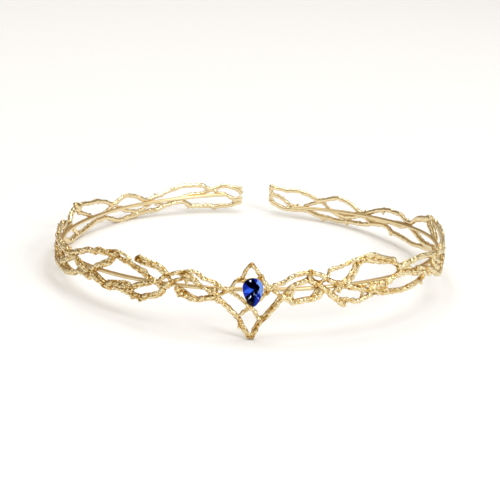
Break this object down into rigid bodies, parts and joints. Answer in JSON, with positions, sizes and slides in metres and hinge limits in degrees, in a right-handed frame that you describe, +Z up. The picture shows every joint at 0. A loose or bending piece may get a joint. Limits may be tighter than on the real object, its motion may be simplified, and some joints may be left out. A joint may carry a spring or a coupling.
{
  "type": "tiara headband",
  "caption": "Open circlet of interlaced cast twigs on a support wire, with a peak and a V at the front round a pear-cut stone in a collet; open at the back.",
  "frame": {"origin": "middle of the bounding box, on the surface that the band rests on", "axes": "+Z up, -Y to the front with the stone, +X to the right of someone who faces the stone"},
  "size_m": [0.1491, 0.1518, 0.0285],
  "materials": {
    "cast_metal": "gold-coloured casting, satin, with the pits and ridges of bark; the wire is smooth",
    "cut_stone": "polished facets, deep blue"
  },
  "bodies": {
    "root": {"twig_frame": "cast_metal", "pear_stone": "cut_stone"}
  },
  "joints": []
}
